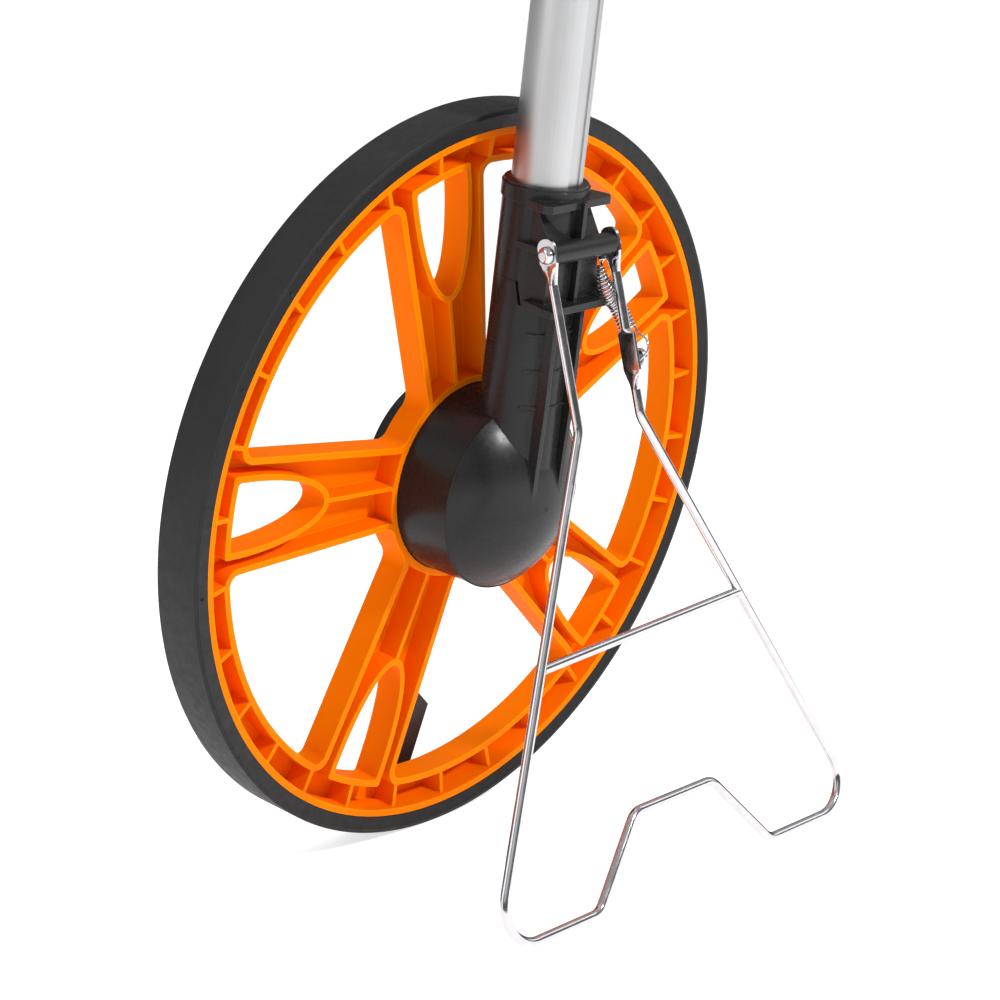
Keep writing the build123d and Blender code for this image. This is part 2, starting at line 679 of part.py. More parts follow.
def keyed_tube(low, high, radius, keyway_half, keyway_depth):
    """A drawn tube whose wall follows its keyway inwards."""
    outside = keyed_circle(radius, keyway_half, keyway_depth)
    inside = keyed_circle(radius - TUBE_WALL, keyway_half + TUBE_WALL, keyway_depth)
    return upright(low, high, outside - inside)


def lower_tube():
    tube = keyed_tube(TUBE_FOOT, LOWER_TUBE_TOP, LOWER_TUBE_RADIUS, KEYWAY_HALF, KEYWAY_DEPTH)
    for height in (HOUSING_SCREW_Z, BRACKET_SCREW_Z):
        tube -= rod((8, TUBE_Y, height), (17, TUBE_Y, height), 1.5)
    return tube


def upper_tube():
    return keyed_tube(UPPER_TUBE_FOOT, UPPER_TUBE_TOP, UPPER_TUBE_RADIUS, UPPER_KEYWAY_HALF,
                      UPPER_KEYWAY_DEPTH)


def slide_bush():
    """The liner on the foot of the upper tube, open over the lower tube's keyway."""
    bore = LOWER_TUBE_RADIUS - TUBE_WALL
    face = ring(bore - 0.1, UPPER_TUBE_RADIUS) - Pos(0, -bore) * Rectangle(2 * UPPER_KEYWAY_HALF, 8)
    return upright(UPPER_TUBE_FOOT, UPPER_TUBE_FOOT + SLIDE_BUSH_LENGTH, face)


def clamp_collar():
    """A split collar on the lower tube's top, with two ears for the clamp bolt."""
    collar = upright(COLLAR_FOOT, COLLAR_TOP, Circle(COLLAR_RADIUS))
    collar = chamfer(collar.edges().filter_by(GeomType.CIRCLE), 1.2)
    ears = block((CLAMP_X - 6, TUBE_Y - 9, CLAMP_Z - 9), (-10, TUBE_Y + 9, CLAMP_Z + 9))
    outer_corners = ears.edges().filter_by(Axis.Y).group_by(Axis.X)[0]
    collar += fillet(outer_corners, 4)
    collar -= upright(COLLAR_FOOT - 1, LOWER_TUBE_TOP, Circle(LOWER_TUBE_RADIUS))
    collar -= upright(LOWER_TUBE_TOP, COLLAR_TOP + 1, Circle(UPPER_TUBE_RADIUS + 0.08))
    collar -= block((CLAMP_X - 8, TUBE_Y - CLAMP_SLIT / 2, COLLAR_FOOT - 1),
                    (-8, TUBE_Y + CLAMP_SLIT / 2, COLLAR_TOP + 1))
    return collar - rod((CLAMP_X, TUBE_Y - 20, CLAMP_Z), (CLAMP_X, TUBE_Y + 20, CLAMP_Z), CLAMP_BOLT)


def clamp_bolt():
    """The bolt across the collar's ears, with an eye for the lever's pin."""
    bolt = rod((CLAMP_X, CAM_Y + 2, CLAMP_Z), (CLAMP_X, TUBE_Y + 15, CLAMP_Z), CLAMP_BOLT)
    bolt += rod((CLAMP_X, CAM_Y, CLAMP_Z - 2.9), (CLAMP_X, CAM_Y, CLAMP_Z + 2.9), 4.2)
    return bolt - rod((CLAMP_X, CAM_Y, CLAMP_Z - 9), (CLAMP_X, CAM_Y, CLAMP_Z + 9), CLAMP_PIN)


def clamp_nut():
    nut = hexagon((CLAMP_X, TUBE_Y + 9, CLAMP_Z), (CLAMP_X, TUBE_Y + 13.5, CLAMP_Z), 8.0)
    return nut - rod((CLAMP_X, TUBE_Y, CLAMP_Z), (CLAMP_X, TUBE_Y + 20, CLAMP_Z), CLAMP_BOLT)


def clamp_pin():
    return rod((CLAMP_X, CAM_Y, CLAMP_Z - LEVER_HALF), (CLAMP_X, CAM_Y, CLAMP_Z + LEVER_HALF), CLAMP_PIN)


def clamp_lever():
    """The cam lever: two cheeks about the bolt's eye and a curved thumb plate."""
    face = Pos(CLAMP_X, CAM_Y) * Circle(CAM_RADIUS)
    face += slab([(CLAMP_X, CAM_Y + 3), (CLAMP_X, CAM_Y - CAM_RADIUS), (8, CAM_Y - 9.5),
                  (19, CAM_Y - 6.5), (19, CAM_Y - 3.5), (6, CAM_Y - 5.5)])
    lever = extrude(Pos(0, 0, CLAMP_Z - LEVER_HALF) * face, 2 * LEVER_HALF)
    lever -= block((CLAMP_X - 8, CAM_Y - 8, CLAMP_Z - 3.25), (CLAMP_X + 7, CAM_Y + 8, CLAMP_Z + 3.25))
    hole = rod((CLAMP_X, CAM_Y, CLAMP_Z - 9), (CLAMP_X, CAM_Y, CLAMP_Z + 9), CLAMP_PIN + RUNNING)
    return lever - hole


# ---------------------------------------------------------------- counter and handle

def grip_point(along):
    """A point on the grip's axis, measured from the tube's axis."""
    turn = math.radians(GRIP_ANGLE)
    return (GRIP_X - along * math.cos(turn), TUBE_Y, GRIP_Z + along * math.sin(turn))


def counter_outside():
    """The counter box with its neck, the hard core of the grip and its end cap."""
    box = block((-COUNTER_DEPTH, TUBE_Y - COUNTER_HALF, COUNTER_FOOT),
                (COUNTER_DEPTH, TUBE_Y + COUNTER_HALF, COUNTER_TOP))
    box = fillet(box.edges().filter_by(Axis.Y), 9)
    box = fillet(box.edges().group_by(Axis.Y)[0] + box.edges().group_by(Axis.Y)[-1], 3)
    neck = rod(grip_point(-14), grip_point(GRIP_SLEEVE_START), GRIP_RADIUS - 0.4)
    core = rod(grip_point(0), grip_point(GRIP_LENGTH - 4), GRIP_CORE)
    cap = rod(grip_point(GRIP_SLEEVE_END), grip_point(GRIP_LENGTH), GRIP_RADIUS - 0.4)
    cap = fillet(cap.edges().filter_by(GeomType.CIRCLE).sort_by(Axis.X)[0], 6)
    socket = upright(COUNTER_FOOT - 8, COUNTER_FOOT + 2, Circle(UPPER_TUBE_RADIUS + 3))
    return box + [neck, core, cap, socket]


def counter_room():
    """The room for the drums and gears, less a post around each screw."""
    near, far = TUBE_Y - COUNTER_HALF + COUNTER_WALL, TUBE_Y + COUNTER_HALF - COUNTER_WALL
    depth = COUNTER_DEPTH - COUNTER_WALL
    room = block((-depth, near, COUNTER_FLOOR), (depth, far, COUNTER_TOP - COUNTER_WALL))
    for x, z in COUNTER_SCREWS:
        room -= rod((x, near - 1, z), (x, far + 1, z), 4)
    return room


def window_frame(border):
    """The counter window's outline grown by a border, in Y and Z."""
    low = (WINDOW_NEAR - border, DRUM_Z - WINDOW_HALF - border)
    high = (WINDOW_FAR + border, DRUM_Z + WINDOW_HALF + border)
    return low, high


def window_block(border, x_low, x_high):
    (y_low, z_low), (y_high, z_high) = window_frame(border)
    return block((x_low, y_low, z_low), (x_high, y_high, z_high))


def counter_shell():
    """Both halves of the counter housing and handle together."""
    near_face = TUBE_Y - COUNTER_HALF
    shell = counter_outside() - counter_room()
    shell -= rod(grip_point(34), grip_point(GRIP_LENGTH - 22), GRIP_CORE - 2.5)
    strap_x, _, strap_z = grip_point(STRAP_PLACE)
    shell -= rod((strap_x, TUBE_Y - 30, strap_z), (strap_x, TUBE_Y + 30, strap_z), STRAP_BORE)
    shell -= upright(COUNTER_FOOT - 9, UPPER_TUBE_TOP, Circle(UPPER_TUBE_RADIUS))
    shell -= upright(UPPER_TUBE_TOP - 1, COUNTER_FLOOR + 1, Circle(SHAFT_RADIUS + 0.5))
    shell -= window_block(BEZEL, -COUNTER_DEPTH - 2, BEZEL_BACK)
    shell -= rod((0, near_face - 1, DRUM_Z), (0, drum_axle_far(), DRUM_Z), DRUM_AXLE_RADIUS)
    for x, z in COUNTER_SCREWS:
        shell -= rod((x, near_face - 1, z), (x, TUBE_Y + 12, z), 1.5)
        shell -= rod((x, near_face - 1, z), (x, near_face + 2, z), 3.0)
    return shell


def drum_axle_far():
    return TUBE_Y + COUNTER_HALF - 1


def counter_housing_near():
    return counter_shell() & block((-200, TUBE_Y - 100, 300), (200, TUBE_Y, 700))


def counter_housing_far():
    return counter_shell() & block((-200, TUBE_Y, 300), (200, TUBE_Y + 100, 700))


def counter_bezel():
    """The frame set into the housing around the window."""
    frame = window_block(BEZEL, -COUNTER_DEPTH, BEZEL_BACK)
    frame += window_block(BEZEL + 1.5, -COUNTER_DEPTH - 1.2, -COUNTER_DEPTH)
    return frame - window_block(0, -COUNTER_DEPTH - 3, BEZEL_BACK + 1)


def counter_lens():
    return window_block(0, BEZEL_BACK - LENS_THICKNESS, BEZEL_BACK)


def counter_screws():
    """Four screws from the near side that hold the two halves together."""
    near_face = TUBE_Y - COUNTER_HALF
    screws = []
    for x, z in COUNTER_SCREWS:
        shank = rod((x, near_face + 2, z), (x, TUBE_Y + 12, z), 1.5)
        head = rod((x, near_face + 0.3, z), (x, near_face + 2, z), 3.0)
        slots = [block((x - half_x, near_face, z - half_z), (x + half_x, near_face + 1.2, z + half_z))
                 for half_x, half_z in ((1.8, 0.4), (0.4, 1.8))]
        screws.append(shank + head - slots)
    return Compound(children=screws)


def drum_axle():
    """The pin that carries the drums, with the reset lever held on its near end."""
    near_end = TUBE_Y - COUNTER_HALF - LEVER_THICKNESS - 2 * GAP
    pin = rod((0, near_end - 1, DRUM_Z), (0, drum_axle_far(), DRUM_Z), DRUM_AXLE_RADIUS)
    head = rod((0, near_end - 1.6, DRUM_Z), (0, near_end, DRUM_Z), 3.6)
    return pin + chamfer(head.edges().filter_by(GeomType.CIRCLE).sort_by(Axis.Y)[0], 0.5)


def reset_lever():
    """A flat lever on the near end of the drum axle, with a thumb pad."""
    far_face = TUBE_Y - COUNTER_HALF - GAP
    near_face = far_face - LEVER_THICKNESS
    reach = 20.0
    lift = Rot(0, 0, 35)
    arm = slab([(0, -5), (reach, -4), (reach, 4), (0, 5)])
    outline = Circle(6.5) + lift * arm + lift * Pos(reach, 0) * Circle(4)
    lever = across(near_face, far_face, Pos(0, DRUM_Z) * outline)
    lever += across(near_face - 6, far_face, Pos(0, DRUM_Z) * lift * Pos(reach, 0) * Circle(4))
    return lever - rod((0, -90, DRUM_Z), (0, -60, DRUM_Z), DRUM_AXLE_RADIUS + RUNNING)


def counter_gear():
    """The crown gear that drives the first drum, with its hub and spacer."""
    bore = Circle(DRUM_AXLE_RADIUS + RUNNING)
    back = crown_root() + CROWN_FLANGE
    far_wall = TUBE_Y + COUNTER_HALF - COUNTER_WALL - 0.5
    gear = crown(DRUM_Z, 4)
    gear += across(DRUM_START, back, Pos(0, DRUM_Z) * Circle(6))
    gear += across(back - 1, far_wall, Pos(0, DRUM_Z) * Circle(4.5))
    return gear - across(-60, 0, Pos(0, DRUM_Z) * bore)


def digit_drum(index):
    """One digit drum with a shallow recess in each side."""
    far = DRUM_START - DRUM_PITCH * index
    near = far - DRUM_WIDTH
    drum = across(near, far, Pos(0, DRUM_Z) * ring(DRUM_RADIUS, DRUM_AXLE_RADIUS + RUNNING))
    recess = Pos(0, DRUM_Z) * ring(DRUM_RADIUS - 1.6, 6.5)
    return drum - across(near - 1, near + 1, recess) - across(far - 1, far + 1, recess)


def grip_sleeve():
    """The soft sleeve over the grip, with shallow rings round it."""
    start, end = grip_point(GRIP_SLEEVE_START), grip_point(GRIP_SLEEVE_END)
    sleeve = rod(start, end, GRIP_RADIUS) - rod(start, end, GRIP_CORE)
    for index in range(9):
        along = GRIP_SLEEVE_START + 11 + index * 7
        groove = rod(grip_point(along), grip_point(along + 2), GRIP_RADIUS + 1)
        sleeve -= groove - rod(grip_point(along - 1), grip_point(along + 3), GRIP_RADIUS - 0.8)
    return sleeve


# ---------------------------------------------------------------- assembly

def build_all():
    """Every separate piece by name, in the tool's own frame."""
    pieces = {
        "wheel_rim": wheel_rim(),
        "tyre": tyre(),
        "wheel_bush_near": wheel_bush(-3, HUB_BOSS_NEAR, HUB_BOSS_NEAR - 1),
        "wheel_bush_far": wheel_bush(1, HUB_BOSS_FAR, HUB_BOSS_FAR + 0.85),
        "drive_gear": drive_gear(),
        "gear_screws": gear_screws(),
        "drive_pinion": pinion(drive_pinion_foot()),
        "lower_drive_shaft": lower_drive_shaft(),
        "gear_housing": gear_housing(),
        "tube_bracket": tube_bracket(),
        "bracket_screws": bracket_screws(),
        "lower_tube": lower_tube(),
        "axle": axle(),
        "axle_washer": axle_washer(),
        "axle_nut": axle_nut(),
        "start_pointer": start_pointer(),
        "shaft_bush": shaft_bush(),
        "hinge_pin": hinge_pin(),
        "stand_wire": stand_wire(),
        "stand_crossbar": stand_crossbar(),
        "spring_rivet": spring_rivet(),
        "stand_spring": stand_spring(),
        "clamp_collar": clamp_collar(),
        "clamp_bolt": clamp_bolt(),
        "clamp_nut": clamp_nut(),
        "clamp_pin": clamp_pin(),
        "clamp_lever": clamp_lever(),
        "upper_tube": upper_tube(),
        "slide_bush": slide_bush(),
        "upper_shaft_bush": upper_shaft_bush(),
        "upper_drive_shaft": upper_drive_shaft(),
        "counter_pinion": pinion(counter_pinion_foot()),
        "counter_gear": counter_gear(),
        "drum_axle": drum_axle(),
        "reset_lever": reset_lever(),
        "counter_housing_near": counter_housing_near(),
        "counter_housing_far": counter_housing_far(),
        "counter_bezel": counter_bezel(),
        "counter_lens": counter_lens(),
        "counter_screws": counter_screws(),
        "grip_sleeve": grip_sleeve(),
    }
    for index in range(DRUMS):
        pieces[f"digit_drum_{index + 1}"] = digit_drum(index)
    return pieces


def lean_angle():
    """How far the tool leans, in degrees, to stand on its tyre's near edge and its feet."""
    tilt = math.radians(STAND_ANGLE)
    foot_y = HINGE_Y - FOOT * math.sin(tilt)
    foot_z = HINGE_Z - FOOT * math.cos(tilt)
    edge_y = -(TYRE_HALF_WIDTH - TYRE_SHOULDER)
    edge_z = -(TYRE_RADIUS - TYRE_SHOULDER)
    run, rise = edge_y - foot_y, foot_z - edge_z
    extra = math.asin((WIRE - TYRE_SHOULDER) / math.hypot(run, rise))
    return math.degrees(math.atan2(rise, run) - extra)


def place(pieces):
    """Lean the whole tool and set it on the floor, centred under its bounding box."""
    leaned = {name: Rot(lean_angle(), 0, 0) * piece for name, piece in pieces.items()}
    boxes = [piece.bounding_box() for piece in leaned.values()]
    middle_x = (min(box.min.X for box in boxes) + max(box.max.X for box in boxes)) / 2
    middle_y = (min(box.min.Y for box in boxes) + max(box.max.Y for box in boxes)) / 2
    floor = min(box.min.Z for box in boxes)
    return {name: Pos(-middle_x, -middle_y, -floor) * piece for name, piece in leaned.items()}


os.makedirs("parts", exist_ok=True)
for name, piece in place(build_all()).items():
    export_step(piece, f"parts/{name}.step")
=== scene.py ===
import json
import math

import bmesh
import bpy
from mathutils import Matrix, Vector


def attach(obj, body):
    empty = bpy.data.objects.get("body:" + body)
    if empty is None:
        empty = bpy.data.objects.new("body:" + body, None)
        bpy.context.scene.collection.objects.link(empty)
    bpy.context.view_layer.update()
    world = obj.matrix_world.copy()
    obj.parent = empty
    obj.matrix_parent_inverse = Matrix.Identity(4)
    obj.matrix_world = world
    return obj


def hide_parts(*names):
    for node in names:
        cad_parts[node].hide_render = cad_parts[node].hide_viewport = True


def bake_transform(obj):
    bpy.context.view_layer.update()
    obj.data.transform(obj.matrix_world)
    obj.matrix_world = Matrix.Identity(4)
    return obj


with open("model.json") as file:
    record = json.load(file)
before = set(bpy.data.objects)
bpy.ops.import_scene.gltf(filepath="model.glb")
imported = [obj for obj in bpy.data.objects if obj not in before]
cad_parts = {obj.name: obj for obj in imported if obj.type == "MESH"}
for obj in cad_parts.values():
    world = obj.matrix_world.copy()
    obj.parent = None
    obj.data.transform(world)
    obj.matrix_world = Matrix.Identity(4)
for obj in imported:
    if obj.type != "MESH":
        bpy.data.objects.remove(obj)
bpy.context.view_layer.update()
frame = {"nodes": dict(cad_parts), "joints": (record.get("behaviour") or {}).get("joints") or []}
nodes = frame["nodes"]
joints = {joint["name"]: joint for joint in frame["joints"]}

# The tool's own frame: the wheel's centre, Y along the axle, Z up along the tube. Millimetres.
MM = 0.001
CENTRE = Vector(joints["wheel_spin"]["pos_m"])
ALONG_AXLE = Vector(joints["wheel_spin"]["axis"])
UP_TUBE = Vector((1, 0, 0)).cross(ALONG_AXLE)
TOOL = Matrix.Translation(CENTRE) @ Matrix(((1, 0, 0), ALONG_AXLE, UP_TUBE)).transposed().to_4x4()
TOOL_MM = TOOL @ Matrix.Scale(MM, 4)
LEAN = math.atan2(-UP_TUBE.y, UP_TUBE.z)

# Room, in metres. The sky's heights run from 0 at the horizon to 1 overhead.
FLOOR_HALF = 60.0
FLOOR_GLOW = 0.66
HORIZON = (0.12, 0.12, 0.123)
HORIZON_HEIGHT = 0.12
OVERHEAD = (0.5, 0.5, 0.505)
OVERHEAD_HEIGHT = 0.75

# Camera, in the tool's own frame
CAMERA_PLACE = Vector((-985.9, -835.7, 455.7))
CAMERA_VIEW = Vector((0.7274, 0.5964, -0.3394))
CAMERA_UP = Vector((0.1892, 0.3011, 0.9346))
CAMERA_LENS = 116.8
CAMERA_SENSOR = 36.0

# Tyre
TYRE_RADIUS = 159.15
TYRE_SEAT = 151.74
TYRE_HALF_WIDTH = 10.7
TYRE_SHOULDER = 0.6
SHOULDER_STEPS = 6
SEAT_CHAMFER = 0.3
TYRE_STEPS = 720
MOULD_LINE_RADIUS = 157.4
MOULD_LINE = 0.12
PIP_CIRCLE = 154.6
PIP_ANGLES = (-50.3, -65.8, -97.5)
PIP_FOOT = 0.85
PIP_TOP = 0.6
PIP_HEIGHT = 0.7

# Raised lines on the gear housing
CREASE_Y = -33.0
CREASE_RADIUS = 40.65
CREASE_START = 28
CREASE_END = 332
ARM_Y = -32.67
RIDGE_RADIUS = 17.75
RIDGE_HEIGHTS = (75.0, 59.5, 44.0)
RIDGE_SPANS = ((-46, -29), (-20, 20), (29, 46))
BEAD = 0.3
ARC_STEPS = 96

# Stand spring. The hooks' points are measured from the post at the route's start and from the stud.
SPRING_WIRE = 0.45
SPRING_TIP = 0.7
SPRING_CONE = 3.3
SPRING_WIDE = 3.7
SPRING_CONE_END = 0.3
SPRING_TURNS = 21
SPRING_TURN_STEPS = 24
SPRING_ROUTE = [Vector(point) for point in (
    (13.5, -54.7, 103.4),
    (15.5, -55.6, 96.0),
    (20.0, -56.2, 89.8),
    (23.0, -58.2, 86.0),
    (25.5, -63.5, 76.5),
)]
TOP_HOOK = ((-1.9, 0, 2.6), (0, -1.9, 3.2), (1.9, 0, 2.4), (1.2, 0.6, 0.8))
STUD = Vector((22.4, -71.24, 67.18))
STUD_HOOK = ((3.4, 2.4, 9.6), (3.2, -2.0, 8.0), (2.2, -4.2, 4.2), (0.6, -3.4, 1.2))
STUD_GROOVE = 2.4
GROOVE_ANGLES = (190, 230, 270, 310, 350, 390)

# Counter
DRUM_Z = 490.0
DRUM_RADIUS = 12.0
DRUM_WIDTH = 5.6
DRUM_START = -27.0
DRUM_PITCH = 6.0
DRUMS = 5
FIGURE_SIZE = 7.56
FIGURE_DEPTH = 0.04
FIGURE_GAP = 0.02


# ---------------------------------------------------------------- materials

class Nodes:
    """A material's node tree, with short calls for the nodes these materials share."""

    def __init__(self, name):
        self.material = bpy.data.materials.new(name)
        self.material.use_nodes = True
        self.tree = self.material.node_tree
        self.shader = self.tree.nodes["Principled BSDF"]
        upright = self.add("ShaderNodeMapping")
        upright.inputs["Rotation"].default_value = (-LEAN, 0, 0)
        self.link(self.add("ShaderNodeTexCoord").outputs["Object"], upright.inputs["Vector"])
        self.place = upright.outputs["Vector"]

    def add(self, kind, **settings):
        node = self.tree.nodes.new(kind)
        for key, value in settings.items():
            setattr(node, key, value)
        return node

    def link(self, source, target):
        self.tree.links.new(source, target)

    def noise(self, scale, detail=3.0, roughness=0.55, stretch=None):
        """A noise pattern with features about 1/scale metres across."""
        node = self.add("ShaderNodeTexNoise")
        node.inputs["Scale"].default_value = scale
        node.inputs["Detail"].default_value = detail
        node.inputs["Roughness"].default_value = roughness
        source = self.place
        if stretch is not None:
            mapping = self.add("ShaderNodeMapping")
            mapping.inputs["Scale"].default_value = stretch
            self.link(source, mapping.inputs["Vector"])
            source = mapping.outputs["Vector"]
        self.link(source, node.inputs["Vector"])
        return node.outputs["Fac"]

    def spread(self, value, low, high, start=0.0, end=1.0):
        """A value from start..end mapped on to low..high."""
        node = self.add("ShaderNodeMapRange")
        node.inputs["From Min"].default_value = start
        node.inputs["From Max"].default_value = end
        node.inputs["To Min"].default_value = low
        node.inputs["To Max"].default_value = high
        self.link(value, node.inputs["Value"])
        return node.outputs["Result"]

    def blend(self, factor, first, second):
        """Two colours, or colour outputs, mixed by a factor."""
        node = self.add("ShaderNodeMix", data_type="RGBA")
        self.link(factor, node.inputs["Factor"])
        for socket, colour in ((node.inputs[6], first), (node.inputs[7], second)):
            if isinstance(colour, tuple):
                socket.default_value = (*colour, 1.0)
            else:
                self.link(colour, socket)
        return node.outputs[2]

    def edge_wear(self, radius, low=0.1, high=0.3):
        """Near 1 on edges and near 0 on flat faces: the mask for painted edge highlights."""
        soft = self.add("ShaderNodeBevel", samples=8)
        soft.inputs["Radius"].default_value = radius
        plain = self.add("ShaderNodeNewGeometry")
        dot = self.add("ShaderNodeVectorMath", operation="DOT_PRODUCT")
        self.link(soft.outputs["Normal"], dot.inputs[0])
        self.link(plain.outputs["Normal"], dot.inputs[1])
        return self.spread(dot.outputs["Value"], 1.0, 0.0, 1 - high, 1 - low)

    def bump(self, height, distance, strength=1.0, rounding=0.0):
        """Bump from a height pattern, over edges rounded by the given radius."""
        node = self.add("ShaderNodeBump")
        node.inputs["Distance"].default_value = distance
        node.inputs["Strength"].default_value = strength
        self.link(height, node.inputs["Height"])
        if rounding:
            soft = self.add("ShaderNodeBevel", samples=6)
            soft.inputs["Radius"].default_value = rounding
            self.link(soft.outputs["Normal"], node.inputs["Normal"])
        self.link(node.outputs["Normal"], self.shader.inputs["Normal"])

    def set(self, **values):
        for key, value in values.items():
            socket = self.shader.inputs[key.replace("_", " ")]
            socket.default_value = (*value, 1.0) if isinstance(value, tuple) else value


def plastic(name, colour, dark, rough, grain_size, grain_depth, rounding, gloss=0.5, pale=None,
            highlight_radius=0.001):
    """Moulded plastic: fine surface grain, slow tone drift and, where a pale colour is given, paler edges
    that are a painted highlight.
    """
    m = Nodes(name)
    drift = m.noise(14.0, 2.0)
    speck = m.noise(420.0, 3.0)
    tone = m.blend(m.spread(drift, 0.0, 1.0, 0.35, 0.65), colour, dark)
    # Edges are blended towards the pale colour: a painted highlight.
    highlighted = m.blend(m.spread(m.edge_wear(highlight_radius), 0.0, 0.8), tone, pale or colour)
    m.link(highlighted, m.shader.inputs["Base Color"])
    m.link(m.spread(speck, rough - 0.04, rough + 0.06, 0.3, 0.7), m.shader.inputs["Roughness"])
    m.set(Specular_IOR_Level=gloss)
    m.bump(m.noise(1.0 / grain_size, 4.0, 0.6), grain_depth, 1.0, rounding)
    return m


def orange_plastic():
    """Smooth orange moulding with faint flow marks, and paler front edges and faces that are a painted
    highlight.
    """
    # The pale colour over a wide edge radius paints a highlight on the rim's thin front faces and edges.
    m = plastic("orange_plastic", (0.92, 0.185, 0.0), (0.88, 0.17, 0.0), rough=0.55, grain_size=0.004,
                grain_depth=0.000015, rounding=0.0004, gloss=0.05, pale=(1.0, 0.31, 0.0), highlight_radius=0.0024)
    m.set(Specular_Tint=(1.0, 0.5, 0.1))
    return m.material


def black_plastic():
    """Satin black moulding with a fine spark-eroded grain and paler edges that are a painted glint."""
    # The pale grey on a narrow edge radius paints glints along the housing's edges, crease and ridges.
    m = plastic("black_plastic", (0.019, 0.019, 0.0195), (0.0155, 0.0155, 0.016), rough=0.27,
                grain_size=0.0006, grain_depth=0.000008, rounding=0.0004, gloss=0.2,
                pale=(0.1, 0.1, 0.103), highlight_radius=0.0006)
    return m.material


def tyre_rubber():
    """Matt rubber: a dusty, scuffed tread, darker, smoother sides and paler shoulder edges that are a
    painted highlight.
    """
    m = Nodes("tyre_rubber")
    split = m.add("ShaderNodeSeparateXYZ")
    m.link(m.place, split.inputs["Vector"])
    off_middle = m.add("ShaderNodeMath", operation="SUBTRACT")
    m.link(split.outputs["Y"], off_middle.inputs[0])
    off_middle.inputs[1].default_value = CENTRE.dot(ALONG_AXLE)
    distance = m.add("ShaderNodeMath", operation="ABSOLUTE")
    m.link(off_middle.outputs["Value"], distance.inputs[0])
    half = TYRE_HALF_WIDTH * MM
    side = m.spread(distance.outputs["Value"], 0.0, 1.0, half - 0.0004, half - 0.0001)
    bloom = m.noise(38.0, 4.0)
    dust = m.noise(260.0, 3.0)
    scuff = m.noise(70.0, 5.0, 0.7)
    tread = m.blend(m.spread(bloom, 0.0, 1.0, 0.3, 0.7), (0.0165, 0.0165, 0.017), (0.022, 0.022, 0.0225))
    tone = m.blend(side, tread, (0.0085, 0.0085, 0.0088))
    tone = m.blend(m.spread(scuff, 0.0, 0.3, 0.62, 0.78), tone, (0.055, 0.055, 0.055))
    # Paler edges along the shoulders: a painted highlight.
    tone = m.blend(m.spread(m.edge_wear(0.0006), 0.0, 0.5), tone, (0.06, 0.06, 0.06))
    m.link(tone, m.shader.inputs["Base Color"])
    m.link(m.spread(dust, 0.5, 0.64, 0.3, 0.7), m.shader.inputs["Roughness"])
    m.set(Specular_IOR_Level=0.28)
    m.bump(m.noise(900.0, 4.0, 0.6), 0.00004, 0.8)
    return m.material


def brushed(name, colour, rough, lines, depth, rounding=0.0003):
    """Metal with fine lines along the tool's tube."""
    m = Nodes(name)
    streak = m.noise(lines, 3.0, 0.6, stretch=(1.0, 1.0, 0.01))
    cloud = m.noise(30.0, 2.0)
    dull = tuple(channel * 0.92 for channel in colour)
    m.link(m.blend(m.spread(streak, 0.0, 1.0, 0.3, 0.7), dull, colour), m.shader.inputs["Base Color"])
    m.link(m.spread(cloud, rough - 0.03, rough + 0.04, 0.3, 0.7), m.shader.inputs["Roughness"])
    m.set(Metallic=1.0)
    m.bump(streak, depth, 0.4, rounding)
    return m.material


def bright_wire():
    """Bright plated wire with slight draw marks and faint cloudiness."""
    m = Nodes("bright_wire")
    cloud = m.noise(160.0, 3.0)
    mark = m.noise(1800.0, 3.0, 0.6)
    m.link(m.blend(cloud, (0.5, 0.5, 0.52), (0.68, 0.68, 0.7)), m.shader.inputs["Base Color"])
    m.link(m.spread(cloud, 0.08, 0.17, 0.3, 0.7), m.shader.inputs["Roughness"])
    m.set(Metallic=1.0)
    m.bump(mark, 0.00001, 0.5)
    return m.material


def acetal():
    """Natural, slightly yellow bearing plastic."""
    m = plastic("acetal", (0.72, 0.69, 0.6), (0.66, 0.63, 0.54), rough=0.38, grain_size=0.001,
                grain_depth=0.00001, rounding=0.0002)
    return m.material


def soft_grip():
    """Matt black rubbery plastic with a coarser grain."""
    m = plastic("soft_grip", (0.03, 0.03, 0.032), (0.024, 0.024, 0.026), rough=0.6, grain_size=0.0006,
                grain_depth=0.00005, rounding=0.0004, gloss=0.3)
    return m.material


def drum_plastic(name, colour):
    """Plain moulded plastic for the counter's drums and their figures."""
    dark = tuple(channel * 0.8 for channel in colour)
    m = plastic(name, colour, dark, rough=0.45, grain_size=0.0008, grain_depth=0.00001, rounding=0.0002)
    return m.material


def clear_lens():
    """Clear plastic with faint smears."""
    m = Nodes("clear_lens")
    smear = m.noise(120.0, 3.0)
    m.link(m.spread(smear, 0.02, 0.09, 0.4, 0.8), m.shader.inputs["Roughness"])
    m.set(Base_Color=(0.97, 0.99, 0.99), Transmission_Weight=1.0, IOR=1.49)
    m.bump(m.noise(60.0, 2.0), 0.00001, 0.3)
    return m.material


ORANGE = orange_plastic()
BLACK = black_plastic()
RUBBER = tyre_rubber()
ALUMINIUM = brushed("aluminium", (0.46, 0.463, 0.468), rough=0.42, lines=1600.0, depth=0.000008)
STEEL = brushed("steel", (0.5, 0.5, 0.52), rough=0.28, lines=1500.0, depth=0.00002)
WIRE = bright_wire()
ACETAL = acetal()
GRIP = soft_grip()
DRUM_BLACK = drum_plastic("drum_black", (0.02, 0.02, 0.021))
DRUM_RED = drum_plastic("drum_red", (0.55, 0.03, 0.02))
DIGIT_WHITE = drum_plastic("digit_white", (0.85, 0.85, 0.83))
LENS = clear_lens()

